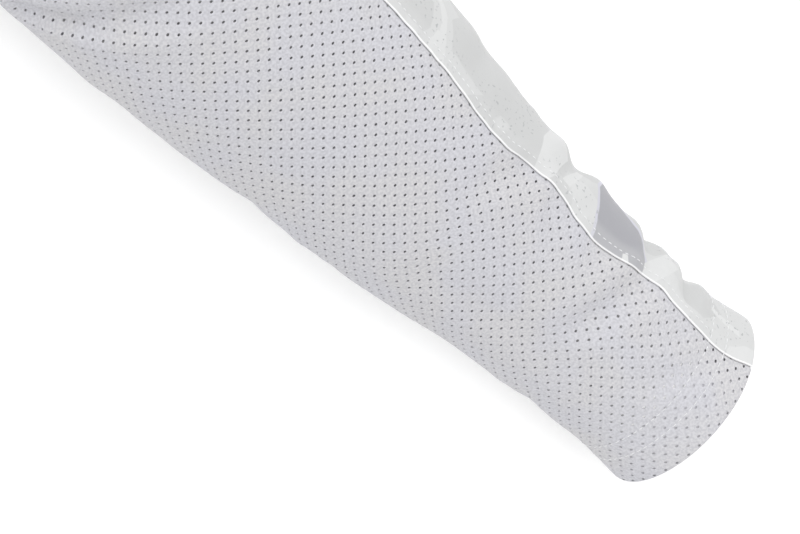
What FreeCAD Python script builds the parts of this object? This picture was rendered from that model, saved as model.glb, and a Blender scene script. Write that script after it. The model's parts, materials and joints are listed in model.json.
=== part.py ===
import FreeCAD, Part
import os

from FreeCAD import Placement, Rotation, Vector

# A forearm sleeve: a mesh panel and a print panel, sewn along two seams into a tapering oval tube
# that the arm goes through. It lies along X on Z = 0, in the shape that an arm gives it, with the
# elbow end at -X and the wrist end at +X. Y is its breadth. The mesh panel is on top.
# Millimetres and degrees. Angles run from +Y towards +Z, round the middle of the sleeve.

SIZES = {
    # The arm space is an oval at each of six stations.
    "elbow_breadth": 103,
    "elbow_depth": 80,
    "forearm_breadth": 101,
    "forearm_depth": 77,
    "middle_breadth": 93,
    "middle_depth": 69,
    "lower_breadth": 78,
    "lower_depth": 58,
    "wrist_breadth": 67,
    "wrist_depth": 49,
    "cuff_breadth": 72,
    "cuff_depth": 52,
    # How far the ovals are flattened where the sleeve lies.
    "flattening": 3,
    # From each station to the next one towards the hand.
    "elbow_to_forearm": 75,
    "forearm_to_middle": 70,
    "middle_to_lower": 65,
    "lower_to_wrist": 65,
    "wrist_to_cuff": 45,
    # Cloth and thread. A line of stitches is one flat band, sunk in the cloth where it is outside.
    "cloth": 0.6,
    "thread": 0.3,
    "stitch_band": 0.8,
    # Both seams: where each lies, and the cloth turned in behind it, under the print panel.
    "top_seam_angle": 43,
    "side_seam_angle": 202,
    "seam_allowance": 7,
    "seam_stitch_inset": 1.2,
    "topstitch_inset": 3,
    # Both hems: two rows of stitches, and the raw edge past the inner row.
    "cuff_stitch_inset": 12,
    "needle_gauge": 6.4,
    "hem_margin": 1.6,
    # The elastic that holds the elbow end up, in a casing between the fold and the stitches.
    "elastic_width": 9,
    "elastic_thickness": 1,
    "elastic_clearance": 0.1,
    "casing_clearance": 0.7,
}
STATIONS = ("elbow", "forearm", "middle", "lower", "wrist", "cuff")
CUTTER_REACH = 40  # how far every cutter passes the cloth

doc = FreeCAD.newDocument("forearm_sleeve")
sheet = doc.addObject("Spreadsheet::Sheet", "Sizes")
for row, (alias, value) in enumerate(SIZES.items(), 1):
    sheet.set(f"A{row}", alias)
    sheet.set(f"B{row}", str(value))
    sheet.setAlias(f"B{row}", alias)
doc.recompute()


def total(*terms):
    """Expressions added up, as one expression."""
    return "(" + " + ".join(terms) + ")"


def less(first, second):
    return f"({first} - {second})"


# Faces of the plies, as distances outwards from the arm space's oval.
OUTSIDE = "Sizes.cloth"
GROOVE = "(Sizes.cloth - Sizes.thread)"
INSIDE = "0"
TURNED_INSIDE = "(-Sizes.cloth)"
HEM_LOOPER_INSIDE = less(TURNED_INSIDE, "Sizes.thread")
THIRD_PLY_INSIDE = less(TURNED_INSIDE, "Sizes.cloth")
SEAM_THREAD_INSIDE = less(THIRD_PLY_INSIDE, "Sizes.thread")
ELASTIC_OUTSIDE = "(-Sizes.elastic_clearance)"
ELASTIC_INSIDE = less(ELASTIC_OUTSIDE, "Sizes.elastic_thickness")
CASING_OUTSIDE = less(ELASTIC_INSIDE, "Sizes.elastic_clearance")
CASING_INSIDE = less(CASING_OUTSIDE, "Sizes.cloth")

# Places along X.
SPANS = [f"Sizes.{here}_to_{there}" for here, there in zip(STATIONS, STATIONS[1:])]
LENGTH = total(*SPANS)
ELBOW_EDGE = f"(-{LENGTH} / 2)"
CUFF_EDGE = f"({LENGTH} / 2)"
HALF_BAND = "(Sizes.stitch_band / 2)"
CUFF_OUTER_ROW = less(CUFF_EDGE, "Sizes.cuff_stitch_inset")
CUFF_INNER_ROW = less(CUFF_OUTER_ROW, "Sizes.needle_gauge")
CUFF_HEM_END = less(CUFF_INNER_ROW, "Sizes.hem_margin")
ELASTIC_START = total(ELBOW_EDGE, "Sizes.cloth", "Sizes.casing_clearance")
ELASTIC_END = total(ELASTIC_START, "Sizes.elastic_width")
CASING_END = total(ELASTIC_END, "Sizes.casing_clearance")
ELBOW_OUTER_ROW = total(CASING_END, "Sizes.cloth", HALF_BAND)
ELBOW_INNER_ROW = total(ELBOW_OUTER_ROW, "Sizes.needle_gauge")
ELBOW_HEM_END = total(ELBOW_INNER_ROW, "Sizes.hem_margin")


def middle_height(station):
    """Height of a station's middle: the outside face of every flattened oval lies on Z = 0."""
    return f"(Sizes.{station}_depth / 2 + Sizes.cloth - Sizes.flattening)"


def add(kind, name):
    """An object whose faces stay as its boolean leaves them, without joining those that meet flush."""
    made = doc.addObject(kind, name)
    if hasattr(made, "Refine"):
        made.Refine = False
    return made


def helper(kind, name):
    """A construction object, which isn't a sub-part."""
    return add(kind, f"make_{name}")


REACH = f"(Sizes.elbow_breadth + {CUTTER_REACH})"
cores = {}


def core(offset):
    """The solid inside the face at that offset, from end to end."""
    if offset in cores:
        return cores[offset]
    number = len(cores)
    ovals = []
    for index, station in enumerate(STATIONS):
        halves = []
        for start in (0, 180):
            half = helper("Part::Ellipse", f"half_{number}_{station}_{start}")
            half.setExpression("MajorRadius", f"Sizes.{station}_breadth / 2 + {offset}")
            half.setExpression("MinorRadius", f"Sizes.{station}_depth / 2 + {offset}")
            half.Angle1 = start
            half.Angle2 = start + 180
            half.Placement = Placement(Vector(), Rotation(Vector(1, 1, 1), 120))
            half.setExpression("Placement.Base.x", total(ELBOW_EDGE, *SPANS[:index]))
            half.setExpression("Placement.Base.z", middle_height(station))
            halves.append(half)
        oval = helper("Part::Compound", f"oval_{number}_{station}")
        oval.Links = halves
        ovals.append(oval)
    loft = helper("Part::Loft", f"loft_{number}")
    loft.Sections = ovals
    loft.Solid = True
    below = helper("Part::Box", f"below_{number}")
    below.setExpression("Length", f"{LENGTH} + 2 * {CUTTER_REACH}")
    below.setExpression("Width", f"2 * {REACH}")
    below.setExpression("Height", str(CUTTER_REACH))
    below.setExpression("Placement.Base.x", less(ELBOW_EDGE, str(CUTTER_REACH)))
    below.setExpression("Placement.Base.y", f"-{REACH}")
    below.setExpression("Placement.Base.z", f"{OUTSIDE} - {offset} - {CUTTER_REACH}")
    flattened = helper("Part::Cut", f"core_{number}")
    flattened.Base = loft
    flattened.Tool = below
    cores[offset] = flattened
    return flattened


SLOPE = f"atan(({middle_height('elbow')} - {middle_height('cuff')}) / {LENGTH})"
# Along the line from the elbow oval's middle to the cuff oval's middle.
ALONG_MIDDLE = (f"placement(vector({ELBOW_EDGE}; 0; {middle_height('elbow')});"
                f" rotation(vector(0; 1; 0); {SLOPE}))")


def sector(name, start, sweep):
    """Everything between two angles round the middle."""
    wedge = helper("Part::Cylinder", name)
    wedge.setExpression("Radius", REACH)
    wedge.setExpression("Height", f"{LENGTH} + 2 * {CUTTER_REACH}")
    wedge.setExpression("Angle", sweep)
    wedge.setExpression(
        "Placement",
        f"{ALONG_MIDDLE} * placement(vector(-{CUTTER_REACH}; 0; 0);"
        f" rotation(vector(1; 0; 0); {start}) * rotation(vector(1; 1; 1); 120))",
    )
    return wedge


def slab(name, seam, near, far):
    """A slab outwards along a seam, from near to far past it on the print panel's side."""
    left = near if seam == "top" else f"(-{far})"
    box = helper("Part::Box", name)
    box.setExpression("Length", f"{LENGTH} + 2 * {CUTTER_REACH}")
    box.setExpression("Width", less(far, near))
    box.setExpression("Height", REACH)
    box.setExpression(
        "Placement",
        f"{ALONG_MIDDLE} * placement(vector(-{CUTTER_REACH}; 0; 0);"
        f" rotation(vector(1; 0; 0); Sizes.{seam}_seam_angle - 90))"
        f" * placement(vector(0; {left}; 0); rotation(vector(1; 0; 0); 0))",
    )
    return box


def stretch(name, start, end):
    """Everything between two places along X."""
    box = helper("Part::Box", name)
    box.setExpression("Length", less(end, start))
    box.setExpression("Width", f"2 * {REACH}")
    box.setExpression("Height", f"2 * {REACH}")
    box.setExpression("Placement.Base.x", start)
    box.setExpression("Placement.Base.y", f"-{REACH}")
    box.setExpression("Placement.Base.z", f"-{CUTTER_REACH}")
    return box


def common(name, *shapes):
    overlap = helper("Part::MultiCommon", name)
    overlap.Shapes = list(shapes)
    return overlap


subparts = []


def subpart(label, kind):
    part = add(kind, label)
    part.Label = label
    subparts.append(part)
    return part


def thread(label, *shapes):
    """A line of stitches, as a flat band where all the given shapes meet."""
    band = subpart(label, "Part::MultiCommon")
    band.Shapes = list(shapes)
    return band


MESH_SWEEP = "(Sizes.side_seam_angle - Sizes.top_seam_angle)"
mesh_sector = sector("mesh_sector", "Sizes.top_seam_angle", MESH_SWEEP)
walls = {}


def wall(inside, outside, cloth="mesh"):
    """The wall between two faces: all round, or for the print panel's cloth where that panel is."""
    if (inside, outside, cloth) not in walls:
        full = core(outside)
        if cloth == "print":
            full = helper("Part::Cut", f"print_side_{len(walls)}")
            full.Base = core(outside)
            full.Tool = mesh_sector
        cut = helper("Part::Cut", f"wall_{len(walls)}")
        cut.Base = full
        cut.Tool = core(inside)
        walls[inside, outside, cloth] = cut
    return walls[inside, outside, cloth]


between_hems = stretch("between_hems", ELBOW_HEM_END, CUFF_HEM_END)
whole_length = stretch("whole_length", ELBOW_EDGE, CUFF_EDGE)


def row(name, place):
    return stretch(name, less(place, HALF_BAND), total(place, HALF_BAND))


def line(name, seam, inset):
    return slab(name, seam, less(inset, HALF_BAND), total(inset, HALF_BAND))


# Stitches of both hems: two rows of needle thread outside, and a looper thread between them inside.
outer_threads = {"mesh": [], "print": []}
for end, outer_row, inner_row in (("elbow", ELBOW_OUTER_ROW, ELBOW_INNER_ROW),
                                  ("cuff", CUFF_OUTER_ROW, CUFF_INNER_ROW)):
    for which, place in (("outer", outer_row), ("inner", inner_row)):
        needle = thread(f"{end}_hem_{which}_needle_thread", wall(GROOVE, OUTSIDE),
                        row(f"{end}_{which}_row", place))
        outer_threads["mesh"].append(needle)
        outer_threads["print"].append(needle)
    first, last = (outer_row, inner_row) if end == "elbow" else (inner_row, outer_row)
    looper_stretch = stretch(f"{end}_looper_stretch", less(first, HALF_BAND), total(last, HALF_BAND))
    thread(f"{end}_hem_looper_thread", wall(HEM_LOOPER_INSIDE, TURNED_INSIDE), looper_stretch)

# Stitches of both seams. The seam's own needle thread and its looper thread are inside, the looper
# round the two raw edges. The topstitch holds the turned cloth to the print panel.
for seam in ("top", "side"):
    thread(f"{seam}_seam_needle_thread", wall(SEAM_THREAD_INSIDE, THIRD_PLY_INSIDE),
           line(f"{seam}_needle_line", seam, "Sizes.seam_stitch_inset"), between_hems)
    edge = slab(f"{seam}_raw_edge", seam, "Sizes.seam_allowance",
                total("Sizes.seam_allowance", "Sizes.thread"))
    thread(f"{seam}_seam_looper_thread", wall(THIRD_PLY_INSIDE, INSIDE), edge, between_hems)
    topstitch = line(f"{seam}_topstitch_line", seam, "Sizes.topstitch_inset")
    needle = thread(f"{seam}_topstitch_needle_thread", wall(GROOVE, OUTSIDE), topstitch, between_hems)
    outer_threads["print"].append(needle)
    thread(f"{seam}_topstitch_bobbin_thread", wall(SEAM_THREAD_INSIDE, THIRD_PLY_INSIDE),
           topstitch, between_hems)

# Plies of the tube, each with its faces and the stretch that it covers: the outside cloth, and what
# is turned in at the cuff's hem and at the elbow's hem with its casing.
plies = {
    "outside": (INSIDE, OUTSIDE, whole_length),
    "cuff_turned": (TURNED_INSIDE, INSIDE, stretch("cuff_hem", CUFF_HEM_END, CUFF_EDGE)),
    "elbow_turned": (TURNED_INSIDE, INSIDE,
                     stretch("elbow_hem", total(CASING_END, "Sizes.cloth"), ELBOW_HEM_END)),
    "elbow_fold": (CASING_INSIDE, INSIDE,
                   stretch("fold", ELBOW_EDGE, total(ELBOW_EDGE, "Sizes.cloth"))),
    "casing_step": (CASING_INSIDE, INSIDE,
                    stretch("step", CASING_END, total(CASING_END, "Sizes.cloth"))),
    "casing": (CASING_INSIDE, CASING_OUTSIDE,
               stretch("pocket", total(ELBOW_EDGE, "Sizes.cloth"), CASING_END)),
}


def mesh_ply(name):
    inside, outside, covered = plies[name]
    return common(f"mesh_{name}", wall(inside, outside), covered, mesh_sector)


def print_ply(name):
    inside, outside, covered = plies[name]
    return common(f"print_{name}", wall(inside, outside, "print"), covered)


def allowance(name, cloth, seam, near, far, inside, outside):
    """Cloth turned in behind a seam, between two faces."""
    return common(name, wall(inside, outside, cloth), slab(f"{name}_strip", seam, near, far), between_hems)


def panel(name, pieces):
    """One cut of cloth: its plies of the tube and its allowances, less its outside stitches."""
    cloth = helper("Part::MultiFuse", f"{name}_cloth")
    cloth.Shapes = pieces
    grooves = helper("Part::MultiFuse", f"{name}_grooves")
    grooves.Shapes = outer_threads[name]
    finished = subpart(f"{name}_panel", "Part::Cut")
    finished.Base = cloth
    finished.Tool = grooves


# The print panel folds back under itself. The mesh panel goes down past that fold's edge and lies
# under it, as the third ply.
mesh_pieces = [mesh_ply(name) for name in plies]
print_pieces = [print_ply(name) for name in plies]
for seam in ("top", "side"):
    print_pieces.append(allowance(f"{seam}_print_turned", "print", seam, "0", "Sizes.seam_allowance",
                                  TURNED_INSIDE, INSIDE))
    mesh_pieces.append(allowance(f"{seam}_mesh_turned", "mesh", seam, "0", "Sizes.seam_allowance",
                                 THIRD_PLY_INSIDE, TURNED_INSIDE))
    mesh_pieces.append(allowance(f"{seam}_mesh_bend", "mesh", seam, "(-Sizes.cloth)", "0",
                                 THIRD_PLY_INSIDE, INSIDE))
panel("mesh", mesh_pieces)
panel("print", print_pieces)

elastic = subpart("elbow_elastic", "Part::MultiCommon")
elastic.Shapes = [wall(ELASTIC_INSIDE, ELASTIC_OUTSIDE),
                  stretch("elastic_place", ELASTIC_START, ELASTIC_END)]

doc.recompute()

for made in doc.Objects:
    if {"Invalid", "Error"} & set(made.State):
        raise RuntimeError(f"{made.Name} failed: {made.State}")
for part in subparts:
    shape = part.Shape
    if shape.isNull() or not shape.isValid() or not shape.Solids:
        raise RuntimeError(f"{part.Label} has no valid solid")

os.makedirs("parts", exist_ok=True)
for part in subparts:
    part.Shape.exportStep(f"parts/{part.Label}.step")
    print(f"{part.Label}: {len(part.Shape.Solids)} solid(s), {part.Shape.Volume:.0f} mm3")
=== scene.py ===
import json
import math

import bpy
import numpy as np
from mathutils import Matrix, Vector

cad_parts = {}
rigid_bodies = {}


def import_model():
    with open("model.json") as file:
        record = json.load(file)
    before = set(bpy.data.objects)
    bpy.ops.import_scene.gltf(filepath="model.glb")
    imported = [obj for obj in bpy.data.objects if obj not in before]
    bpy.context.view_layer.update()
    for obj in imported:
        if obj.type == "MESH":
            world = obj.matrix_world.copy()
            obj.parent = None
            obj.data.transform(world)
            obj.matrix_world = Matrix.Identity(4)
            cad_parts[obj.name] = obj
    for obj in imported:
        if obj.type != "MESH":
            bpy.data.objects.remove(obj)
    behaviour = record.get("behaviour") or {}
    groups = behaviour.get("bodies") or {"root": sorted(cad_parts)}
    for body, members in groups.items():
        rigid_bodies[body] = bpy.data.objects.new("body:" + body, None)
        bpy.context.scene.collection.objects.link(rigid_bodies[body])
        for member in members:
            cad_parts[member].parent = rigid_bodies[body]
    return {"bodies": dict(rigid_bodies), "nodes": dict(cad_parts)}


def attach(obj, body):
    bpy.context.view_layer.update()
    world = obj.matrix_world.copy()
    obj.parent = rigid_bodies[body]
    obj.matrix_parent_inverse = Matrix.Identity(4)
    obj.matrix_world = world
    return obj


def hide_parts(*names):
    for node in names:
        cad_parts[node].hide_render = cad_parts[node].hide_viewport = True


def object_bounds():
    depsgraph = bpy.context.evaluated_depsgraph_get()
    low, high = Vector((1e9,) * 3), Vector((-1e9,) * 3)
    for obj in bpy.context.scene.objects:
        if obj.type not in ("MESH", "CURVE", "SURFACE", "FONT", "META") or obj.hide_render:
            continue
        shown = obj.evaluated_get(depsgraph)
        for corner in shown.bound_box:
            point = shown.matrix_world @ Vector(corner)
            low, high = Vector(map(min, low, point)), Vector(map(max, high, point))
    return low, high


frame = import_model()
for extra in set(bpy.data.objects) - set(frame["nodes"].values()) - set(frame["bodies"].values()):
    bpy.data.objects.remove(extra)
cadLow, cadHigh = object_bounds()
mm = 0.001
sleeveLength = (cadHigh.x - cadLow.x) / mm
elbowX = cadLow.x / mm
print("frame loaded, sleeve", round(sleeveLength), "mm long")

# Shapes are worked out in millimetres. "along" runs from the elbow edge to the cuff edge. Angles run
# round the sleeve from +Y, where the print panel wraps, over the top of the mesh panel.
sleeve = dict(
    # along, +Y edge, -Y edge, height
    rings=[(0, 50.5, -52.5, 76), (35, 51, -54, 77), (75, 50.5, -54.4, 76), (115, 49.5, -51.3, 71.5),
           (155, 46.2, -49.4, 66), (185, 41.4, -48, 61.5), (210, 38, -44.4, 57), (240, 35.2, -40.2, 52),
           (270, 33.2, -37.6, 49), (297, 32.6, -35.7, 48.5), (320, 36, -37, 51)],
    flattening=3,      # how far the underside is flattened where it lies
    floorBlend=0.8,
    cuffBow=5,         # how far the top of the cuff edge reaches past its sides
    cuffBowReach=70,
    cuffDraw=3.4,      # how far the edge draws back at the print panel, and round which angles
    cuffDrawAngle=12,
    cuffDrawSpread=42,
    cloth=0.42,
    plyGap=0.1,
)
seams = dict(
    # top seam: along, then its place across; side seam: along, then its angle
    top=[(0, 34), (60, 32.5), (130, 29.4), (160, 26.6), (186, 22.3), (197, 21.4), (208, 23), (221, 22.4),
         (236, 19.2), (248, 18.2), (260, 19.8), (272, 21.9), (286, 20.2), (305, 19.8), (320, 23.6)],
    side=[(0, 203), (90, 201), (170, 203.5), (240, 200.5), (320, 202)],
    allowance=7,
    hemAllowance=1.2,  # what is left of it inside a hem
    lift=0.3,          # how far the folded edge of the print panel stands up
    liftReach=3,
    ridge=0.28,        # the turned cloth makes a low ridge in the print panel
    dive=1,            # the mesh panel goes under that edge over this distance
)
hems = dict(depth=20, rows=(12, 18.4), casing=11, elasticRoom=1.3, seamBulk=2.3, bulkReach=4)

# Folds: points as (along, angle), depth inwards, half width, and how much stands up on both sides.
folds = [
    ([(270, 50), (265, 76), (261, 98), (250, 122)], 2.4, 5, 0.35),
    ([(305, 62), (294, 90), (281, 114)], 0.9, 4.4, 0.35),
    ([(212, 50), (204, 62), (198, 76), (190, 92)], 1.3, 5, 0.35),
    ([(224, 56), (229, 66), (231, 80)], 0.8, 4, 0.4),
    ([(246, 60), (254, 74)], 0.6, 4, 0.4),
    ([(288, 60), (294, 78)], 0.6, 4, 0.4),
    ([(205, 128), (246, 121), (267, 122), (292, 124)], 0.8, 6, 0.3),
    ([(44, 160), (58, 140), (67, 124), (74, 112), (80, 100), (82, 84)], 3.2, 4.2, 0.4),
    ([(58, 148), (67, 136), (78, 118), (86, 104), (90, 92)], 2.0, 3.4, 0.35),
    ([(222, 34), (228, 14), (233, -12), (236, -40)], 2.4, 5.5, 0.5),
    ([(269, 36), (269, 18), (268, -8), (262, -40)], 2, 4.4, 0.55),
    ([(288, 36), (290, 18), (292, -8), (292, -36)], 2.2, 4, 0.5),
    ([(172, 36), (176, 16), (178, -12)], 1.3, 6, 0.4),
    ([(232, 236), (258, 262), (276, 292)], 1.2, 6, 0.3),
    ([(180, 176), (214, 190), (240, 214)], 1.5, 5, 0.4),
    ([(268, 172), (284, 186), (300, 208)], 1.4, 4, 0.4),
    ([(90, 182), (112, 196), (122, 220)], 1.4, 6, 0.4),
    ([(70, 20), (92, -4), (98, -34)], 1.6, 6, 0.4),
    ([(120, 334), (140, 314), (150, 290)], 1.7, 6, 0.4),
    ([(196, 350), (208, 330), (212, 304)], 1.7, 5, 0.4),
    ([(40, 338), (58, 318), (66, 298)], 1.6, 6, 0.4),
    ([(120, 198), (146, 184), (158, 164)], 1.2, 6, 0.4),
]
wrinkles = dict(
    seed=7, girth=210,
    layers=[(40, 0.5), (16, 0.16), (7, 0.05)],   # size and height
    puckerHeight=0.16, puckerReach=8, puckerSpacing=9.5,
    ruffleHeight=0.8, ruffleReach=22, ruffleCount=26,
)


def smoothThrough(points, at, column=1):
    # a smooth curve through given points that doesn't overshoot them
    x = np.array([p[0] for p in points], float)
    y = np.array([p[column] for p in points], float)
    step = np.diff(x)
    rise = np.diff(y) / step
    slope = np.zeros_like(y)
    slope[0], slope[-1] = rise[0], rise[-1]
    same = rise[:-1] * rise[1:] > 0
    slope[1:-1][same] = 2 * rise[:-1][same] * rise[1:][same] / (rise[:-1][same] + rise[1:][same])
    at = np.clip(np.asarray(at, float), x[0], x[-1])
    i = np.clip(np.searchsorted(x, at, side="right") - 1, 0, len(x) - 2)
    t = (at - x[i]) / step[i]
    return ((2 * t**3 - 3 * t**2 + 1) * y[i] + (t**3 - 2 * t**2 + t) * step[i] * slope[i]
            + (3 * t**2 - 2 * t**3) * y[i + 1] + (t**3 - t**2) * step[i] * slope[i + 1])


def ease(low, high, value):
    t = np.clip((value - low) / (high - low), 0, 1)
    return t * t * (3 - 2 * t)


def middleAndHalf(along):
    up, low = (smoothThrough(sleeve["rings"], along, c) for c in (1, 2))
    return (up + low) / 2, (up - low) / 2


def plainSkin(along, angle):
    # the outside face before any fold: flattened ovals
    middle, half = middleAndHalf(along)
    depth = (smoothThrough(sleeve["rings"], along, 3) + sleeve["flattening"]) / 2
    turn = np.radians(angle)
    y = middle + half * np.cos(turn)
    z = depth - sleeve["flattening"] + depth * np.sin(turn)
    z = (z + np.sqrt(z * z + sleeve["floorBlend"]**2)) / 2
    nearCuff = ease(sleeveLength - sleeve["cuffBowReach"], sleeveLength, along)
    bow = sleeve["cuffBow"] * np.clip(np.sin(turn), 0, 1) * nearCuff
    drawn = sleeve["cuffDraw"] * np.exp(-((angle - sleeve["cuffDrawAngle"] + 180) % 360 - 180)**2
                                        / sleeve["cuffDrawSpread"]**2) * nearCuff
    return np.stack([elbowX + along + bow - drawn, y, z], axis=-1)


def outward(skin, along, angle):
    # unit normal of a skin, by stepping a little both ways
    stepAlong, stepAngle = 0.5, 0.8
    byAlong = skin(along + stepAlong, angle) - skin(along - stepAlong, angle)
    byAngle = skin(along, angle + stepAngle) - skin(along, angle - stepAngle)
    normal = np.cross(byAngle, byAlong)
    return normal / np.linalg.norm(normal, axis=-1, keepdims=True)


def degreeSize(along):
    # millimetres round the sleeve for one degree
    middle, half = middleAndHalf(along)
    depth = (smoothThrough(sleeve["rings"], along, 3) + sleeve["flattening"]) / 2
    return 2 * math.pi * np.sqrt((half**2 + depth**2) / 2) / 360


def foldHeight(path, depth, width, ridge, along, angle):
    # a valley with a soft ridge on both sides, fading at its far end
    size = degreeSize(along)
    wrapped = (angle + 180) % 360 - 180
    if max(p[1] for p in path) > 180:
        wrapped = angle % 360
    nearest = np.full(np.shape(along), 1e9)
    progress = np.zeros(np.shape(along))
    steps = len(path) - 1
    for i, ((a0, b0), (a1, b1)) in enumerate(zip(path, path[1:])):
        dx, dy = a1 - a0, (b1 - b0) * size
        px, py = along - a0, (wrapped - b0) * size
        t = np.clip((px * dx + py * dy) / (dx * dx + dy * dy), 0, 1)
        distance = np.hypot(px - t * dx, py - t * dy)
        closer = distance < nearest
        nearest = np.where(closer, distance, nearest)
        progress = np.where(closer, (i + t) / steps, progress)
    r = nearest / width
    shape = -np.exp(-r * r) + ridge * np.exp(-((r - 1.7) / 0.9)**2)
    return depth * shape * ease(1, 0.45, progress) * ease(-0.3, 0.15, progress)


def softNoise(along, angle, size, seed):
    # smooth random heights on a grid that closes round the sleeve
    columns = max(6, round(wrinkles["girth"] / size))
    rows = round(sleeveLength / size) + 3
    grid = np.random.default_rng(seed).uniform(-1, 1, (rows, columns))
    x = np.clip(along / size + 1, 0, rows - 1.001)
    y = (angle % 360) / 360 * columns
    i, j = np.floor(x).astype(int), np.floor(y).astype(int)
    fx, fy = ease(0, 1, x - i), ease(0, 1, y - j)
    j0, j1 = j % columns, (j + 1) % columns
    return ((grid[i, j0] * (1 - fx) + grid[i + 1, j0] * fx) * (1 - fy)
            + (grid[i, j1] * (1 - fx) + grid[i + 1, j1] * fx) * fy)


def seamAngle(seam, along):
    if seam == "side":
        return smoothThrough(seams["side"], along)
    middle, half = middleAndHalf(along)
    return np.degrees(np.arccos(np.clip((smoothThrough(seams["top"], along) - middle) / half, -1, 1)))


def relief(along, angle):
    # how far the cloth stands off the plain skin
    height = sum(foldHeight(*fold, along, angle) for fold in folds)
    for number, (size, tall) in enumerate(wrinkles["layers"]):
        height = height + tall * softNoise(along, angle, size, wrinkles["seed"] + number)
    for seam in ("top", "side"):
        away = np.abs((angle - seamAngle(seam, along) + 180) % 360 - 180) * degreeSize(along)
        wave = np.sin(2 * math.pi * along / wrinkles["puckerSpacing"]
                      + 2.5 * softNoise(along, 0 * angle, 20, wrinkles["seed"] + 9))
        height = height + wrinkles["puckerHeight"] * wave * np.exp(-(away / wrinkles["puckerReach"])**2)
    ruffle = np.sin(np.radians(angle) * wrinkles["ruffleCount"]
                    + 3 * softNoise(0 * along, angle, 30, wrinkles["seed"] + 11))
    height = height + wrinkles["ruffleHeight"] * ruffle * np.exp(-(along / wrinkles["ruffleReach"])**2)
    # nothing is pushed below the surface that the sleeve lies on
    underside = np.clip(-np.sin(np.radians(angle)), 0, 1)
    return height * (1 - 0.9 * ease(0.55, 0.95, underside))


def foldedSkin(along, angle):
    return plainSkin(along, angle) + outward(plainSkin, along, angle) * relief(along, angle)[..., None]


def clothPoint(along, angle, offset):
    along, angle, offset = np.broadcast_arrays(*(np.asarray(v, float) for v in (along, angle, offset)))
    point = foldedSkin(along, angle) + outward(foldedSkin, along, angle) * offset[..., None]
    point[..., 2] = np.maximum(point[..., 2], 0.05)
    return point


# How far round the cloth each angle is, at each place along.
tableAngles = np.linspace(0, 360, 721)


def roundTable(along):
    points = plainSkin(np.full(tableAngles.shape, float(along)), tableAngles)
    steps = np.linalg.norm(np.diff(points, axis=0), axis=1)
    return np.concatenate([[0], np.cumsum(steps)])


def angleAfter(table, start, distance):
    # the angle that lies that many millimetres round from a start angle
    place = np.interp(start % 360, tableAngles, table) + distance
    laps = np.floor(place / table[-1])
    return np.interp(place - laps * table[-1], table, tableAngles) + 360 * laps


foldRadius = sleeve["cloth"] + sleeve["plyGap"] / 2
foldArc = math.pi * foldRadius
foldSlack = (math.pi / 2 - 1) * foldRadius   # how much longer the cloth is than its seam line's place
meshUnder = 2 * foldRadius + 0.06            # how deep the mesh panel lies under the print panel's outside


def hemPlace(flatAlong, depth, fromSeam):
    # from a place on the flat cloth to where it lies: the cloth turns in round both edges
    flatAlong, depth, fromSeam = np.broadcast_arrays(flatAlong, depth, fromSeam)
    bulk = hems["seamBulk"] * np.exp(-(fromSeam / hems["bulkReach"])**2)
    radius = foldRadius + bulk / 2
    scale = (sleeveLength - 2 * foldRadius) / (sleeveLength - foldArc)
    along = foldRadius + (flatAlong - foldArc / 2) * scale
    offset = -depth
    for edge, sign in ((0, 1), (sleeveLength, -1)):
        inside = (flatAlong - edge) * sign         # below zero once the cloth has turned in
        turn = np.clip((foldArc / 2 - inside) / foldRadius, 0, math.pi)
        bend = np.abs(inside) <= foldArc / 2 + 1e-6
        along = np.where(bend, edge + sign * (foldRadius - (foldRadius - depth) * np.sin(turn)), along)
        offset = np.where(bend, -radius + (radius - depth) * np.cos(turn), offset)
        past = -inside - foldArc / 2
        back = past > 1e-6
        room = 0
        if edge == 0:
            room = (hems["elasticRoom"] * ease(0, 1.5, past)
                    * ease(hems["casing"] + 1, hems["casing"] - 1, past))
        along = np.where(back, edge + sign * (foldRadius + past), along)
        offset = np.where(back, -2 * radius + depth - room, offset)
    return along, offset


def allowanceAt(along):
    # the seam allowance narrows inside the hems, where it would be too thick
    inHem = np.maximum(ease(hems["depth"] + 6, hems["depth"], along),
                       ease(sleeveLength - hems["depth"] - 6, sleeveLength - hems["depth"], along))
    return seams["allowance"] + (seams["hemAllowance"] - seams["allowance"]) * inHem


def seamLift(distance):
    return seams["lift"] * np.exp(-np.abs(distance) / seams["liftReach"])


def printRidge(distance):
    return seams["ridge"] * ease(0.6, 3, distance) * ease(8, 6.2, distance)


def meshDepth(fromSeam):
    # fromSeam is above zero in the mesh panel's open part, below it under the print panel
    return meshUnder * ease(seams["dive"], 0, fromSeam) - seamLift(fromSeam)


def panelWidth(panel, along):
    # the seam line that the panel starts from, how wide it is, and the table to go round by
    table = roundTable(along)
    names = ("top", "side") if panel == "mesh" else ("side", "top")
    first, last = (float(seamAngle(name, along)) for name in names)
    start, end = (np.interp(angle % 360, tableAngles, table) for angle in (first, last))
    return first, (end - start) % table[-1], table


def clothRows(step):
    # flat places along: through both turned hems, both edges and the sleeve between them
    bend = np.linspace(-foldArc / 2, foldArc / 2, 7)
    body = np.arange(foldArc / 2 + step / 2, sleeveLength - foldArc / 2 - step / 3, step)
    depth = hems["depth"]
    back = np.append(np.arange(foldArc / 2 + 0.5, depth - 0.5, 1.6), [depth, depth + 0.8])
    return np.concatenate([-back[::-1], bend, body, sleeveLength + bend, sleeveLength + back])


def nominalAlong(flatAlong):
    return np.clip(np.where(flatAlong < 0, -flatAlong,
                            np.where(flatAlong > sleeveLength, 2 * sleeveLength - flatAlong, flatAlong)),
                   0, sleeveLength)


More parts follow.
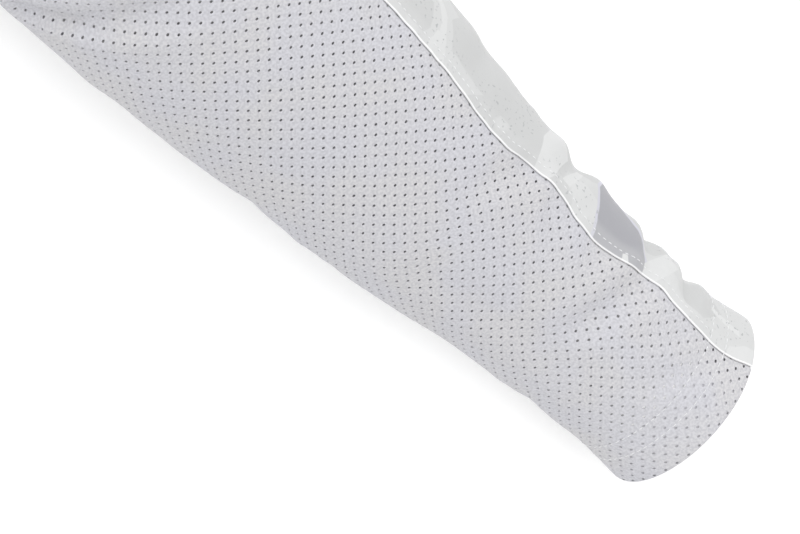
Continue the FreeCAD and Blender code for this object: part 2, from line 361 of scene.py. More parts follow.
def panelGrid(panel, columns, rowStep):
    # points on the sleeve in rows, and the flat place of each
    rows = clothRows(rowStep)
    depthRows, angleRows, flatRows, nearRows = [], [], [], []
    for along in nominalAlong(rows):
        start, width, table = panelWidth(panel, along)
        extra = float(allowanceAt(along))
        if panel == "mesh":
            # columns are closest beside the seams, where the cloth bends
            under = np.array([1, 0.75, 0.5, 0.25, 0.1, 0.03]) * (extra + 0.6)
            near = np.array([0, 0.25, 0.5, 0.75, 1, 1.25, 1.6])
            inner = np.linspace(2.4, width - 2.4, columns)
            across = np.concatenate([-under, near, inner, (width - near)[::-1], (width + under)[::-1]])
            fromSeam = np.minimum(across, width - across)
            depth = meshDepth(fromSeam)
            flat = across - width / 2
        else:
            turns = np.linspace(0, math.pi, 9)[1:]
            turnedBack = np.array([0.12, 0.4, 0.7, 1]) * (extra - foldRadius)
            near = np.array([0.7, 1, 1.5, 2.2, 3, 4])
            inner = np.linspace(5.2, width - 5.2, columns)
            panelBody = np.concatenate([near, inner, (width - near)[::-1]])
            bendAcross = foldRadius - foldRadius * np.sin(turns)
            bendDepth = foldRadius - foldRadius * np.cos(turns)
            far = np.full(4, 2 * foldRadius)
            across = np.concatenate([(foldRadius + turnedBack)[::-1], bendAcross[::-1], panelBody,
                                     width - bendAcross, width - foldRadius - turnedBack])
            fromSeam = -np.minimum(across, width - across)
            top = -printRidge(np.minimum(panelBody, width - panelBody)) * ease(12, 26, along) \
                * ease(sleeveLength - 12, sleeveLength - 26, along)
            depth = np.concatenate([far, bendDepth[::-1], top, bendDepth, far])
            depth = depth - seamLift(fromSeam)
            arc = foldRadius * (turns - math.pi / 2)
            # the flat print panel is measured from the top seam
            flat = np.concatenate([(width + 2 * foldSlack + arc[-1] + turnedBack)[::-1],
                                   (width + 2 * foldSlack + arc)[::-1], width - panelBody + foldSlack,
                                   -arc, -arc[-1] - turnedBack])
        depthRows.append(depth)
        nearRows.append(fromSeam)
        angleRows.append(angleAfter(table, start, across))
        flatRows.append(flat)
    depths, angles, flats, near = (np.array(each) for each in (depthRows, angleRows, flatRows, nearRows))
    alongs, offsets = hemPlace(rows[:, None], depths, near)
    points = clothPoint(alongs, angles, offsets)
    return points, np.stack([flats, np.broadcast_to(rows[:, None], flats.shape)], axis=-1)


def gridFaces(rows, columns):
    corner = (np.arange(rows - 1)[:, None] * columns + np.arange(columns - 1)).ravel()
    return np.stack([corner, corner + 1, corner + columns + 1, corner + columns], axis=1).tolist()


def addMesh(name, points, faces=(), edges=(), flats=None, materials=()):
    # an object at the origin from points in millimetres, with its flat places as a UV map in metres
    data = bpy.data.meshes.new(name)
    data.from_pydata((np.asarray(points).reshape(-1, 3) * mm).tolist(), list(edges), list(faces))
    if flats is not None:
        layer = data.uv_layers.new(name="flat")
        corners = np.empty(len(data.loops), np.int32)
        data.loops.foreach_get("vertex_index", corners)
        layer.data.foreach_set("uv", (np.asarray(flats).reshape(-1, 2)[corners] * mm).ravel())
    for material in materials:
        data.materials.append(material)
    data.shade_smooth()
    piece = bpy.data.objects.new(name, data)
    bpy.context.scene.collection.objects.link(piece)
    return piece


def applyModifier(piece, kind, **settings):
    modifier = piece.modifiers.new(kind, kind)
    for name, value in settings.items():
        setattr(modifier, name, value)
    keepResult(piece, piece.name)


def keepResult(piece, name):
    # what the modifiers make becomes the piece's own plain mesh
    seen = bpy.context.evaluated_depsgraph_get()
    made = bpy.data.meshes.new_from_object(piece.evaluated_get(seen), preserve_all_data_layers=True,
                                           depsgraph=seen)
    made.name = name
    piece.modifiers.clear()
    old = piece.data
    piece.data = made
    bpy.data.meshes.remove(old)


# Nodes, for materials and for Geometry Nodes alike. An input or output is found by its name or number.
def findSocket(sockets, name):
    if isinstance(name, int):
        return sockets[name]
    return next(socket for socket in sockets if socket.name == name and socket.enabled)


def mathsMethod(operation, reflected=False):
    # a method of Wire that adds one Math node
    def method(wire, *others):
        values = (wire, *others)
        inputs = dict(enumerate(values[::-1] if reflected else values))
        return wire.graph.node("ShaderNodeMath", inputs, operation=operation)[0]
    return method


class Wire:
    # a node's output that can be used in sums
    __add__ = mathsMethod("ADD")
    __radd__ = mathsMethod("ADD", reflected=True)
    __sub__ = mathsMethod("SUBTRACT")
    __rsub__ = mathsMethod("SUBTRACT", reflected=True)
    __mul__ = mathsMethod("MULTIPLY")
    __rmul__ = mathsMethod("MULTIPLY", reflected=True)
    __truediv__ = mathsMethod("DIVIDE")
    __mod__ = mathsMethod("FLOORED_MODULO")
    __gt__ = mathsMethod("GREATER_THAN")
    __lt__ = mathsMethod("LESS_THAN")
    __abs__ = mathsMethod("ABSOLUTE")
    floor = mathsMethod("FLOOR")
    sine = mathsMethod("SINE")
    least = mathsMethod("MINIMUM")
    root = mathsMethod("SQRT")

    def __init__(self, graph, socket):
        self.graph = graph
        self.socket = socket

    def ease(self, low, high):
        inputs = {"Value": self, "From Min": low, "From Max": high}
        made = self.graph.node("ShaderNodeMapRange", inputs, interpolation_type="SMOOTHSTEP")
        return made["Result"]


class Made:
    # a node that was made, to read its outputs from
    def __init__(self, graph, node):
        self.graph = graph
        self.node = node

    def __getitem__(self, name):
        return Wire(self.graph, findSocket(self.node.outputs, name))


class Graph:
    def __init__(self, tree):
        self.tree = tree

    def node(self, kind, inputs=None, **settings):
        made = self.tree.nodes.new(kind)
        for name, value in settings.items():
            setattr(made, name, value)
        for name, value in (inputs or {}).items():
            socket = findSocket(made.inputs, name)
            for each in value if isinstance(value, list) else [value]:
                if isinstance(each, Wire):
                    self.tree.links.new(each.socket, socket)
                else:
                    socket.default_value = each
        return Made(self, made)

    def mix(self, factor, first, second):
        colours = [(*each, 1) if isinstance(each, tuple) else each for each in (first, second)]
        return self.node("ShaderNodeMix",
                         {"Factor": factor, "A": colours[0], "B": colours[1]}, data_type="RGBA")["Result"]


class GeometryGraph(Graph):
    # a Geometry Nodes tree with named inputs
    sockets = dict(float="NodeSocketFloat", int="NodeSocketInt", Object="NodeSocketObject",
                   Material="NodeSocketMaterial")

    def __init__(self, name, inputs):
        tree = bpy.data.node_groups.new(name, "GeometryNodeTree")
        tree.interface.new_socket(name="Geometry", in_out="INPUT", socket_type="NodeSocketGeometry")
        for label, value in inputs.items():
            kind = self.sockets[type(value).__name__]
            tree.interface.new_socket(name=label, in_out="INPUT", socket_type=kind)
        tree.interface.new_socket(name="Geometry", in_out="OUTPUT", socket_type="NodeSocketGeometry")
        super().__init__(tree)
        self.values = inputs
        self.given = self.node("NodeGroupInput")

    def attribute(self, name):
        made = self.node("GeometryNodeInputNamedAttribute", {"Name": name}, data_type="FLOAT_VECTOR")
        return made["Attribute"]

    def join(self, *parts):
        return self.node("GeometryNodeJoinGeometry", {"Geometry": list(parts)})["Geometry"]

    def end(self, geometry):
        smooth = self.node("GeometryNodeSetShadeSmooth", {"Geometry": geometry})["Geometry"]
        real = self.node("GeometryNodeRealizeInstances", {"Geometry": smooth})["Geometry"]
        done = self.node("GeometryNodeSetMaterial",
                         {"Geometry": real, "Material": self.given["Finish"]})["Geometry"]
        self.node("NodeGroupOutput", {"Geometry": done})

    def grow(self, piece, name):
        # runs the tree on an object and keeps what it makes
        modifier = piece.modifiers.new("grow", "NODES")
        modifier.node_group = self.tree
        for item in self.tree.interface.items_tree:
            if item.in_out == "INPUT" and item.name in self.values:
                modifier[item.identifier] = self.values[item.name]
        keepResult(piece, name)
        piece.name = name
        return piece


# Materials. Patterns follow the flat cloth: u across it and v along it, in millimetres here.
def startMaterial(name):
    finish = bpy.data.materials.new(name)
    finish.use_nodes = True
    finish.node_tree.nodes.clear()
    return finish, Graph(finish.node_tree)


def endMaterial(graph, shader, bump=None):
    inputs = dict(shader)
    if bump:
        inputs["Normal"] = graph.node("ShaderNodeBump", {"Height": bump, "Distance": mm})["Normal"]
    surface = graph.node("ShaderNodeBsdfPrincipled", inputs)["BSDF"]
    graph.node("ShaderNodeOutputMaterial", {"Surface": surface})


def flatPlace(graph):
    flat = graph.node("ShaderNodeUVMap", uv_map="flat")["UV"]
    parts = graph.node("ShaderNodeSeparateXYZ", {"Vector": flat})
    return flat, parts["X"] * 1000, parts["Y"] * 1000


def noiseAt(graph, vector, size, detail=2.0):
    # size in millimetres, for a vector in metres
    inputs = {"Vector": vector, "Scale": 1000 / size, "Detail": detail}
    return graph.node("ShaderNodeTexNoise", inputs, noise_dimensions="3D")["Fac"]


def knitHeight(graph, u, v, wale, course):
    # columns of small V-shaped loops
    column = abs(u / wale % 1 - 0.5)
    loop = ((v / course + column * 1.1) * (2 * math.pi)).sine()
    return loop * 0.35 + (column * (2 * math.pi)).sine() * 0.5


# The mesh's holes: one in every second cell of a square grid.
perforations = dict(
    cell=2.5, radius=0.52, acrossShare=1.15, alongShare=0.84, sides=8,
    strip=1.6,         # a strip without holes along both seams
    outlineRows=(-0.88, -0.44, 0.44, 0.88),   # rows added where the cloth bends round an edge
)
meshKnit = dict(
    # the paler ring colour round each hole is a painted highlight, where light would catch the pressed rim
    colour=(0.612, 0.612, 0.652), warm=(0.629, 0.622, 0.632), rim=(0.7, 0.7, 0.74),
    # the darkest colour is painted shade for the low places between the knit loops
    grain=(0.44, 0.44, 0.47), gap=(0.42, 0.42, 0.45), rimShare=0.4, grainShare=0.55, gapShare=0.3,
    wale=0.63, course=0.5, knit=0.09, rimDepth=0.08, roughness=0.78, sheen=0.12,
)


def makeMeshKnit():
    finish, graph = startMaterial("meshKnit")
    flat, u, v = flatPlace(graph)
    cell = perforations["cell"]
    across = u / cell
    along = v / cell
    isHole = (across.floor() + along.floor()) % 2
    x = (across % 1 - 0.5) * cell
    y = (along % 1 - 0.5) * cell
    x = x / perforations["acrossShare"]
    y = y / perforations["alongShare"]
    away = (x * x + y * y).root()
    # the ring round each hole: pressed down in the bump, and coloured paler there as a painted highlight
    rim = away.ease(1.05, perforations["radius"]) * isHole
    tint = noiseAt(graph, flat, 26)
    colour = graph.mix(tint.ease(0.35, 0.65), meshKnit["colour"], meshKnit["warm"])
    colour = graph.mix(rim * meshKnit["rimShare"], colour, meshKnit["rim"])
    fine = noiseAt(graph, flat, 0.9)
    colour = graph.mix((1 - fine.ease(0.38, 0.62)) * meshKnit["grainShare"], colour, meshKnit["grain"])
    # cells too close to a seam or an edge to be punched show their holes by transparency
    hole = isHole * (away < perforations["radius"] * 0.9)
    loops = knitHeight(graph, u, v, meshKnit["wale"], meshKnit["course"])
    # painted shade: the low places between the knit loops are coloured darker
    colour = graph.mix(loops.ease(0.2, -0.5) * meshKnit["gapShare"], colour, meshKnit["gap"])
    height = loops * meshKnit["knit"] - rim * meshKnit["rimDepth"]
    endMaterial(graph, {"Base Color": colour, "Roughness": meshKnit["roughness"], "Alpha": 1 - hole,
                        "Sheen Weight": meshKnit["sheen"]}, height)
    return finish


# The print: angular patches of pale greys. Its own patches are in places along and across the cloth.
printCloth = dict(
    ground=(0.57, 0.575, 0.575), second=(0.52, 0.525, 0.525), light=(0.62, 0.625, 0.625),
    # the edge colour, near white, is partly the cloth's pale ground where the fold stretches it and partly
    # a painted highlight along the raised edge
    edge=(0.95, 0.95, 0.95), patch=(0.33, 0.33, 0.355), border=(0.54, 0.54, 0.6), speck=(0.34, 0.35, 0.36),
    inside=(0.7, 0.7, 0.7), insideShade=(0.651, 0.651, 0.651),
    wale=0.42, course=0.36, knit=0.035, roughness=0.62, sheen=0.1,
)


def insideOutline(graph, u, v, corners):
    # how deep a place is inside a convex outline, whose corners go round against the clock
    depth = None
    for (x0, y0), (x1, y1) in zip(corners, corners[1:] + corners[:1]):
        length = math.hypot(x1 - x0, y1 - y0)
        edge = (u - x0) * (-(y1 - y0) / length) + (v - y0) * ((x1 - x0) / length)
        depth = edge if depth is None else depth.least(edge)
    return depth


# corners as (across from the top seam, along)
printShapes = [
    ("second", [(3, 130), (15, 132), (17, 146), (7, 149), (3, 147)]),
    ("second", [(7, 160), (18, 155), (28, 160), (29, 186), (21, 201), (8, 198), (6.5, 175)]),
    ("light", [(-2, 150), (9, 151.5), (10, 155.5), (-2, 161)]),
    ("light", [(8.5, 152.5), (15.5, 150.5), (17, 153), (9, 155.5)]),
    ("light", [(15, 150.5), (22, 145.5), (23.5, 147.5), (16.5, 153.5)]),
    ("light", [(-2, 211), (5, 209), (14, 208), (22, 211), (24, 217), (18, 226), (2, 217.5), (-2, 216)]),
    ("light", [(6, 222), (20, 229), (19, 231), (5, 226)]),
    ("second", [(30, 112), (44, 104), (58, 118), (54, 150), (36, 148)]),
    ("light", [(28, 196), (60, 184), (62, 190), (32, 204)]),
    ("patch", [(-2, 244.5), (20, 238), (28, 241), (27, 250), (15, 261), (5, 267.5), (-2, 269)]),
    ("light", [(-2, 258), (2.6, 256.5), (3.2, 258.5), (-2, 262)]),
    ("light", [(-2, 268), (5, 267), (17, 276), (15, 282), (-2, 272)]),
    ("second", [(6, 288), (20, 286), (24, 300), (14, 305), (5, 296)]),
    ("light", [(12.3, 300), (14.8, 300.5), (12.6, 313), (9.6, 313)]),
    ("light", [(-2, 307), (4, 309), (7, 315), (6, 324), (-2, 324)]),
    ("second", [(52, 222), (70, 206), (88, 210), (84, 236), (62, 246)]),
    ("patch", [(66, 228), (82, 214), (98, 219), (103, 238), (90, 256), (74, 248)]),
    ("light", [(62, 243), (88, 224), (91, 229), (66, 250)]),
    ("light", [(78, 84), (98, 56), (106, 60), (88, 92)]),
    ("patch", [(92, 66), (101, 48), (116, 47), (124, 66), (117, 88), (100, 92)]),
    ("second", [(104, 96), (122, 84), (140, 100), (128, 124), (108, 120)]),
    ("light", [(112, 58), (128, 50), (131, 55), (114, 64)]),
    ("second", [(40, 56), (54, 40), (72, 52), (68, 80), (48, 84)]),
    ("patch", [(18, 30), (27, 14), (45, 17), (50, 30), (41, 52), (26, 50)]),
    ("light", [(12, 44), (44, 26), (46, 31), (16, 52)]),
    ("patch", [(96, 150), (108, 138), (121, 146), (118, 166), (104, 176)]),
    ("light", [(92, 168), (112, 152), (115, 157), (96, 175)]),
    ("light", [(58, 290), (92, 276), (94, 284), (60, 300)]),
]


def makePrintCloth():
    finish, graph = startMaterial("printCloth")
    flat, u, v = flatPlace(graph)
    ragged = noiseAt(graph, flat, 7, 3)
    wobble = (ragged - 0.5) * 3
    large = graph.node("ShaderNodeTexVoronoi",
                       {"Vector": flat, "Scale": 1000 / 34, "Randomness": 1.0},
                       feature="F1", distance="MANHATTAN")["Color"]
    tone = graph.node("ShaderNodeSeparateColor", {"Color": large})["Red"]
    colour = graph.mix((tone > 0.55) * 1.0, printCloth["ground"], printCloth["second"])
    wide = noiseAt(graph, flat, 30, 3)
    colour = graph.mix(wide.ease(0.57, 0.61) * 0.5, colour, printCloth["light"])
    for shade, corners in printShapes:
        depth = insideOutline(graph, u + wobble * 0.4, v + wobble * 0.4, corners)
        if shade == "patch":
            colour = graph.mix(depth.ease(-1.4, -1.1), colour, printCloth["border"])
        colour = graph.mix(depth.ease(-0.1, 0.3), colour, printCloth[shade])
    specks = noiseAt(graph, flat, 1.5, 1)
    where = noiseAt(graph, flat, 24, 1)
    colour = graph.mix(specks.ease(0.64, 0.68) * where.ease(0.48, 0.56) * 0.75, colour, printCloth["speck"])
    fromFold = graph.node("ShaderNodeAttribute", attribute_name="fromFold")["Fac"]
    # the turned cloth shows through as a paler band, and the folded edge is the palest
    colour = graph.mix(fromFold.ease(8, 4.5) * 0.22, colour, printCloth["light"])
    # the folded edge's near white: partly the pale ground at the stretched fold, partly a painted highlight
    # where the raised edge catches light
    colour = graph.mix(fromFold.ease(1.05, 0.5) * 0.85, colour, printCloth["edge"])
    height = knitHeight(graph, u, v, printCloth["wale"], printCloth["course"]) * printCloth["knit"]
    endMaterial(graph, {"Base Color": colour, "Roughness": printCloth["roughness"],
                        "Sheen Weight": printCloth["sheen"]}, height)
    return finish


def makePrintInside():
    finish, graph = startMaterial("printInside")
    flat, u, v = flatPlace(graph)
    tint = noiseAt(graph, flat, 12)
    colour = graph.mix(tint, printCloth["inside"], printCloth["insideShade"])
    height = knitHeight(graph, u, v, printCloth["wale"], printCloth["course"]) * 0.04
    endMaterial(graph, {"Base Color": colour, "Roughness": 0.8}, height)
    return finish


thread = dict(colour=(0.84, 0.845, 0.85), shade=(0.7, 0.705, 0.72), roughness=0.55)


def makeThread():
    finish, graph = startMaterial("threadFinish")
    place = graph.node("ShaderNodeTexCoord")["Object"]
    fibres = noiseAt(graph, place, 0.35)
    colour = graph.mix(fibres.ease(0.35, 0.65), thread["colour"], thread["shade"])
    endMaterial(graph, {"Base Color": colour, "Roughness": thread["roughness"], "Sheen Weight": 0.2},
                fibres * 0.05)
    return finish


# the shade colour is painted shade in the grooves between the cords
elasticWeave = dict(colour=(0.8, 0.8, 0.79), shade=(0.62, 0.62, 0.62), cord=1.25, pick=0.8, roughness=0.7)


def makeElastic():
    finish, graph = startMaterial("elasticFinish")
    flat, u, v = flatPlace(graph)
    cords = (v * (2 * math.pi / elasticWeave["cord"])).sine()
    picks = (u * (2 * math.pi / elasticWeave["pick"])).sine()
    # painted shade: darker in the grooves between the cords, paler on their tops
    colour = graph.mix(cords.ease(-1, 1), elasticWeave["shade"], elasticWeave["colour"])
    endMaterial(graph, {"Base Color": colour, "Roughness": elasticWeave["roughness"]},
                cords * 0.12 + picks * 0.03)
    return finish


meshFinish = makeMeshKnit()
printFinish = makePrintCloth()
printInsideFinish = makePrintInside()
threadFinish = makeThread()
elasticFinish = makeElastic()
print("materials made")


# The mesh panel: a flat cut on a square grid, punched by Geometry Nodes and then laid on the sleeve.
def meshCut():
    cell = perforations["cell"]
    strip = perforations["strip"]
    rows = np.arange(-round(hems["depth"] / cell), round((sleeveLength + hems["depth"]) / cell) + 1) * cell
    extraRows = [edge + shift for edge in (0, sleeveLength) for shift in perforations["outlineRows"]]
    rows = np.sort(np.concatenate([rows, extraRows]))
    widest = max(panelWidth("mesh", along)[1] for along in nominalAlong(rows))
    reach = math.ceil(widest / 2 / cell) + 1
    lattice = np.arange(-reach, reach + 1) * cell
    points, faces, area = [], [], 0
    lastLines = None
    for v, along in zip(rows, nominalAlong(rows)):
        half = panelWidth("mesh", along)[1] / 2
        extra = float(allowanceAt(along))
        border = half - strip
        # columns past the border gather on it, where their faces vanish
        pointAt = {}
        middleLine = []
        for u in np.clip(lattice, -border, border):
            if u not in pointAt:
                pointAt[u] = len(points)
                points.append((u, v, 0))
            middleLine.append(pointAt[u])
        sideLines = []
        for sign in (-1, 1):
            places = [half - d for d in (1.3, 1, 0.75, 0.5, 0.25, 0)]
            places += [half + extra * t for t in (0.04, 0.12, 0.3, 0.6, 1)]
            line = [pointAt[sign * border]]
            for place in places:
                line.append(len(points))
                points.append((sign * place, v, 0))
            sideLines.append(line)
        lines = [middleLine, sideLines[0][::-1], sideLines[1]]
        if lastLines:
            for lower, upper in zip(lastLines, lines):
                for a, b, c, d in zip(lower, lower[1:], upper[1:], upper):
                    loop = list(dict.fromkeys((a, b, c, d)))
                    if len(loop) > 2:
                        faces.append(loop)
            area += (half + extra + lastReach) * (v - lastV)
        lastLines = lines
        lastReach = half + extra
        lastV = v
    return addMesh("meshCut", points, faces), area


def makeMeshPanel():
    points, flats = panelGrid("mesh", 84, 1.7)
    source = addMesh("meshLay", points, gridFaces(*points.shape[:2]), flats=flats)
    cut, area = meshCut()
    graph = GeometryGraph("perforatedCloth", {"Laid Cloth": source, "Cell": perforations["cell"] * mm,
                                              "Hole Radius": perforations["radius"] * mm,
                                              "Hole Sides": perforations["sides"], "Finish": meshFinish})
    given = graph.given
    place = graph.node("GeometryNodeInputPosition")["Position"]
    parts = graph.node("ShaderNodeSeparateXYZ", {"Vector": place})
    isOdd = ((parts["X"] / given["Cell"]).floor() + (parts["Y"] / given["Cell"]).floor()) % 2 > 0.5
    faceArea = graph.node("GeometryNodeInputMeshFaceArea")["Area"]
    punched = isOdd * (faceArea > given["Cell"] * given["Cell"] * 0.98)
    split = graph.node("GeometryNodeSeparateGeometry",
                       {"Geometry": given["Geometry"], "Selection": punched}, domain="FACE")
    centres = graph.node("GeometryNodeMeshToPoints", {"Mesh": split["Selection"]}, mode="FACES")
    square = graph.node("GeometryNodeCurvePrimitiveQuadrilateral",
                        {"Width": given["Cell"], "Height": given["Cell"]})["Curve"]
    circle = graph.node("GeometryNodeCurvePrimitiveCircle",
                        {"Resolution": given["Hole Sides"], "Radius": given["Hole Radius"]})["Curve"]
    stretch = (perforations["acrossShare"], perforations["alongShare"], 1)
    oval = graph.node("GeometryNodeTransform", {"Geometry": circle, "Scale": stretch})["Geometry"]
    outline = graph.join(square, oval)
    eyelet = graph.node("GeometryNodeFillCurve", {"Curve": outline}, mode="TRIANGLES")["Mesh"]
    cells = graph.node("GeometryNodeInstanceOnPoints", {"Points": centres["Points"], "Instance": eyelet})
    realCells = graph.node("GeometryNodeRealizeInstances", {"Geometry": cells["Instances"]})
    whole = graph.join(split["Inverted"], realCells["Geometry"])
    joined = graph.node("GeometryNodeMergeByDistance", {"Geometry": whole, "Distance": 0.01 * mm})
    marked = graph.node("GeometryNodeStoreNamedAttribute",
                        {"Geometry": joined["Geometry"], "Name": "flat", "Value": place},
                        data_type="FLOAT2", domain="CORNER")["Geometry"]
    laid = graph.node("GeometryNodeObjectInfo",
                      {"Object": given["Laid Cloth"]}, transform_space="ORIGINAL")["Geometry"]
    onSleeve = graph.node("GeometryNodeSampleUVSurface",
                          {"Mesh": laid, "Value": place, "UV Map": graph.attribute("flat"),
                           "Sample UV": place}, data_type="FLOAT_VECTOR")["Value"]
    lying = graph.node("GeometryNodeSetPosition", {"Geometry": marked, "Position": onSleeve})
    graph.end(lying["Geometry"])
    piece = graph.grow(cut, "meshPanel")
    bpy.data.objects.remove(source)
    applyModifier(piece, "SOLIDIFY", thickness=sleeve["cloth"] * mm, offset=-1)
    piece.data.set_sharp_from_angle(angle=math.radians(60))   # crisp hole edges
    return piece, area


meshPanel, meshArea = makeMeshPanel()
print("mesh panel:", len(meshPanel.data.polygons), "faces, flat area", round(meshArea / 1e6, 4), "m2")


def makePrintPanel():
    points, flats = panelGrid("print", 96, 1.7)
    piece = addMesh("printPanel", points, gridFaces(*points.shape[:2]), flats=flats,
                    materials=[printFinish, printInsideFinish])
    widths = flats[:, 0, 0] - flats[:, -1, 0]
    heights = np.diff(flats[:, 0, 1])
    area = float(((widths[1:] + widths[:-1]) / 2 * heights).sum())
    sideEdge = flats[:, 10:11, 0] - foldArc / 2
    fromFold = np.minimum(np.abs(flats[..., 0]), np.abs(sideEdge - flats[..., 0]))
    layer = piece.data.attributes.new("fromFold", "FLOAT", "POINT")
    layer.data.foreach_set("value", fromFold.ravel())
    applyModifier(piece, "SOLIDIFY", thickness=sleeve["cloth"] * mm, offset=-1, material_offset=1)
    return piece, area


printPanel, printArea = makePrintPanel()
print("print panel:", len(printPanel.data.polygons), "faces, flat area", round(printArea / 1e6, 4), "m2")


# The elastic: a ribbed band in the elbow hem's casing.
elastic = dict(start=1.4, width=9, thickness=1, depth=1.22, ribs=7, ribHeight=0.14,
               steps=280, sectionSteps=72)


def makeElasticBand():
    width, half = elastic["width"], elastic["thickness"] / 2
    turn = np.linspace(0, 2 * math.pi, elastic["sectionSteps"], endpoint=False)
    # a flat cross-section with round edges and cords along its faces
    side = np.sign(np.sin(turn)) * np.abs(np.sin(turn))**0.5
    place = np.sign(np.cos(turn)) * np.abs(np.cos(turn))**0.8
    ribs = elastic["ribHeight"] * np.abs(np.cos(place * math.pi * elastic["ribs"] / 2)) * np.abs(side)
    alongs = elastic["start"] + width / 2 * (1 + place)
    depth = -elastic["depth"] + (half - elastic["ribHeight"] + ribs) * side
    angles = np.linspace(0, 360, elastic["steps"], endpoint=False)
    points = clothPoint(alongs[None, :], angles[:, None], depth[None, :])
    rows, columns = points.shape[:2]
    faces = []
    for r in range(rows):
        here, beyond = r * columns, (r + 1) % rows * columns
        for c in range(columns):
            nextColumn = (c + 1) % columns
            faces.append((here + c, beyond + c, beyond + nextColumn, here + nextColumn))
    around = np.arange(rows) * (roundTable(elastic["start"])[-1] / rows)
    flats = np.stack(np.broadcast_arrays(around[:, None], alongs[None, :]), axis=-1)
    return addMesh("elbowElastic", points, faces, flats=flats, materials=[elasticFinish])


elbowElastic = makeElasticBand()
print("elastic made")


# Stitches. Each line is a run of points with the way up at each; Geometry Nodes puts the stitches on it.
stitching = dict(pitch=2.7, length=1.8, thickness=0.34, arch=0.16, loopThickness=0.24,
                 proud=0.06, innerProud=0.05, clear=0.12, seamInset=1.2, topstitchInset=3)
# The looper thread of a hem zigzags between its rows, and that of a seam goes round the raw edges.
hemLoops = dict(elbow=118, cuff=84, steps=8, swing=1.35, lean=0.45)
overlock = dict(points=1500, steps=15, inset=1.1, swing=1.35, rise=0.9, lean=0.7)


def fromSeams(along, angle):
    # distance to the nearer seam line, above zero on the mesh panel
    size = degreeSize(along)
    top = ((angle - seamAngle("top", along) + 180) % 360 - 180) * size
    side = ((seamAngle("side", along) - angle + 180) % 360 - 180) * size
    return np.where((top > 0) & (side > 0), np.minimum(top, side), -np.minimum(np.abs(top), np.abs(side)))


def outsideDepth(along, angle):
    near = fromSeams(along, angle)
    return np.where(near > 0, meshDepth(near), -seamLift(near))


def lineObject(name, points, ups, closed):
    count = len(points)
    edges = [(i, i + 1) for i in range(count - 1)]
    if closed:
        edges.append((count - 1, 0))
    line = addMesh(name, points, edges=edges)
    layer = line.data.attributes.new("up", "FLOAT_VECTOR", "POINT")
    layer.data.foreach_set("vector", np.asarray(ups, float).ravel())
    return line


def stitchRow(name, points, ups, closed):
    sizes = {name.title(): stitching[name] * mm for name in ("pitch", "length", "thickness", "arch")}
    graph = GeometryGraph("stitchRow", {**sizes, "Finish": threadFinish})
    given = graph.given
    curve = graph.node("GeometryNodeMeshToCurve", {"Mesh": given["Geometry"]})["Curve"]
    spaced = graph.node("GeometryNodeResampleCurve",
                        {"Curve": curve, "Length": given["Pitch"]}, mode="LENGTH")["Curve"]
    tangent = graph.node("GeometryNodeInputTangent")["Tangent"]
    facing = graph.node("FunctionNodeAxesToRotation",
                        {"Primary Axis": tangent, "Secondary Axis": graph.attribute("up")},
                        primary_axis="X", secondary_axis="Z")["Rotation"]
    sunk = given["Thickness"] * -0.55
    ends = [graph.node("ShaderNodeCombineXYZ", {"X": given["Length"] * way, "Z": sunk})
            for way in (-0.5, 0.5)]
    middle = graph.node("ShaderNodeCombineXYZ", {"Z": given["Arch"] * 2})["Vector"]
    arch = graph.node("GeometryNodeCurveQuadraticBezier",
                      {"Resolution": 6, "Start": ends[0]["Vector"], "Middle": middle,
                       "End": ends[1]["Vector"]})
    factor = graph.node("GeometryNodeSplineParameter")["Factor"]
    profile = graph.node("GeometryNodeCurvePrimitiveCircle",
                         {"Resolution": 6, "Radius": given["Thickness"] * 0.5})["Curve"]
    stitch = graph.node("GeometryNodeCurveToMesh",
                        {"Curve": arch["Curve"], "Profile Curve": profile, "Fill Caps": True,
                         "Scale": 0.5 + 0.5 * (factor * math.pi).sine()})["Mesh"]
    many = graph.node("GeometryNodeInstanceOnPoints",
                      {"Points": spaced, "Instance": stitch, "Rotation": facing})["Instances"]
    graph.end(many)
    return graph.grow(lineObject(name, points, ups, closed), name)


def loopRun(name, points, closed):
    graph = GeometryGraph("loopRun", {"Thickness": stitching["loopThickness"] * mm, "Finish": threadFinish})
    given = graph.given
    curve = graph.node("GeometryNodeMeshToCurve", {"Mesh": given["Geometry"]})["Curve"]
    profile = graph.node("GeometryNodeCurvePrimitiveCircle",
                         {"Resolution": 5, "Radius": given["Thickness"] * 0.5})["Curve"]
    graph.end(graph.node("GeometryNodeCurveToMesh",
                         {"Curve": curve, "Profile Curve": profile, "Fill Caps": True})["Mesh"])
    return graph.grow(lineObject(name, points, np.zeros((len(points), 3)), closed), name)


def hemRow(name, fromEdge, elbow):
    along = np.full(720, fromEdge if elbow else sleeveLength - fromEdge)
    angle = np.linspace(0, 360, 720, endpoint=False)
    offset = stitching["proud"] - outsideDepth(along, angle)
    return stitchRow(name, clothPoint(along, angle, offset), outward(foldedSkin, along, angle), True)


def hemLooper(name, elbow):
    outer, inner = hems["rows"]
    steps = np.arange(hemLoops["elbow" if elbow else "cuff"] * hemLoops["steps"])
    angle = steps * 360 / len(steps)
    swing = np.clip(hemLoops["swing"] * np.sin(steps * 2 * math.pi / hemLoops["steps"]), -1, 1)
    lean = hemLoops["lean"] * np.sin(steps * 4 * math.pi / hemLoops["steps"])
    fromEdge = (outer + inner) / 2 + (inner - outer) / 2 * swing
    along = fromEdge if elbow else sleeveLength - fromEdge
    angle = angle + lean * 360 / len(steps) * 2
    bulk = hems["seamBulk"] * np.exp(-(fromSeams(along, angle) / hems["bulkReach"])**2)
    offset = -2 * (foldRadius + bulk / 2) + outsideDepth(along, angle) - stitching["clear"]
    return loopRun(name, clothPoint(along, angle, offset), True)


def besideSeam(seam, along, inset):
    # the angle that lies that far into the print panel
    way = -1 if seam == "top" else 1
    return seamAngle(seam, along) + way * inset / degreeSize(along)


